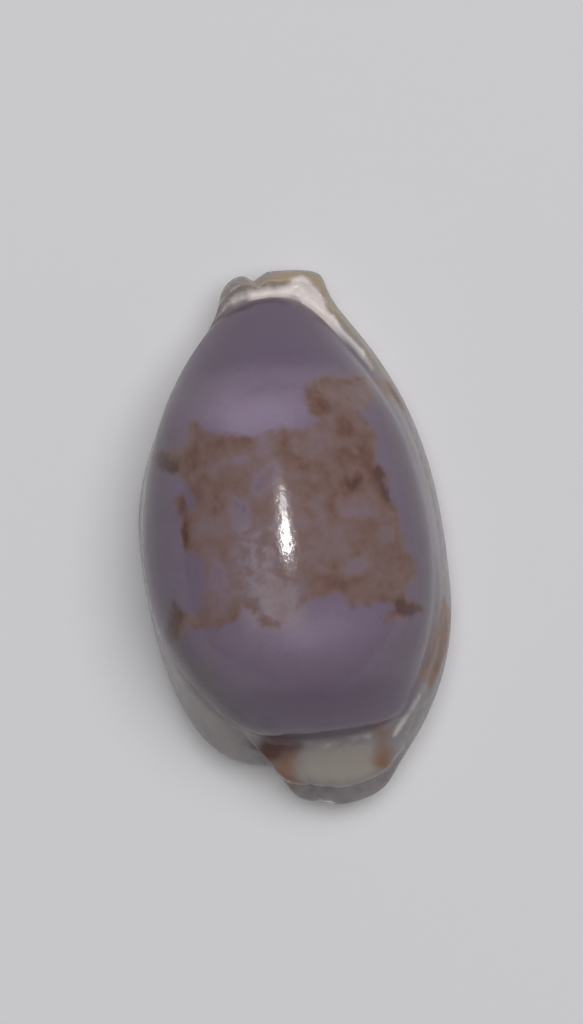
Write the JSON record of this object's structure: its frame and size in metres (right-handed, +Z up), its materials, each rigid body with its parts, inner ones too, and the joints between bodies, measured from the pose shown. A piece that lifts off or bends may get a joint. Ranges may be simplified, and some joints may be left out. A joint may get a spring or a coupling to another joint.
{
  "type": "cowrie shell",
  "caption": "Small glossy cowrie shell, an egg-shaped dome with a thick rim, a toothed slit along its flat underside and a short canal at each end.",
  "frame": {"origin": "middle of the shell's length and width, at the level of the flat underside it rests on", "axes": "+Z up through the dome, +Y toward the narrow front end with the canal nick, +X toward the outer lip's side with the thicker rim"},
  "size_m": [0.0162, 0.0286, 0.0129],
  "materials": {
    "shell": "gloss"
  },
  "bodies": {
    "root": {"shell": "shell"}
  },
  "joints": []
}
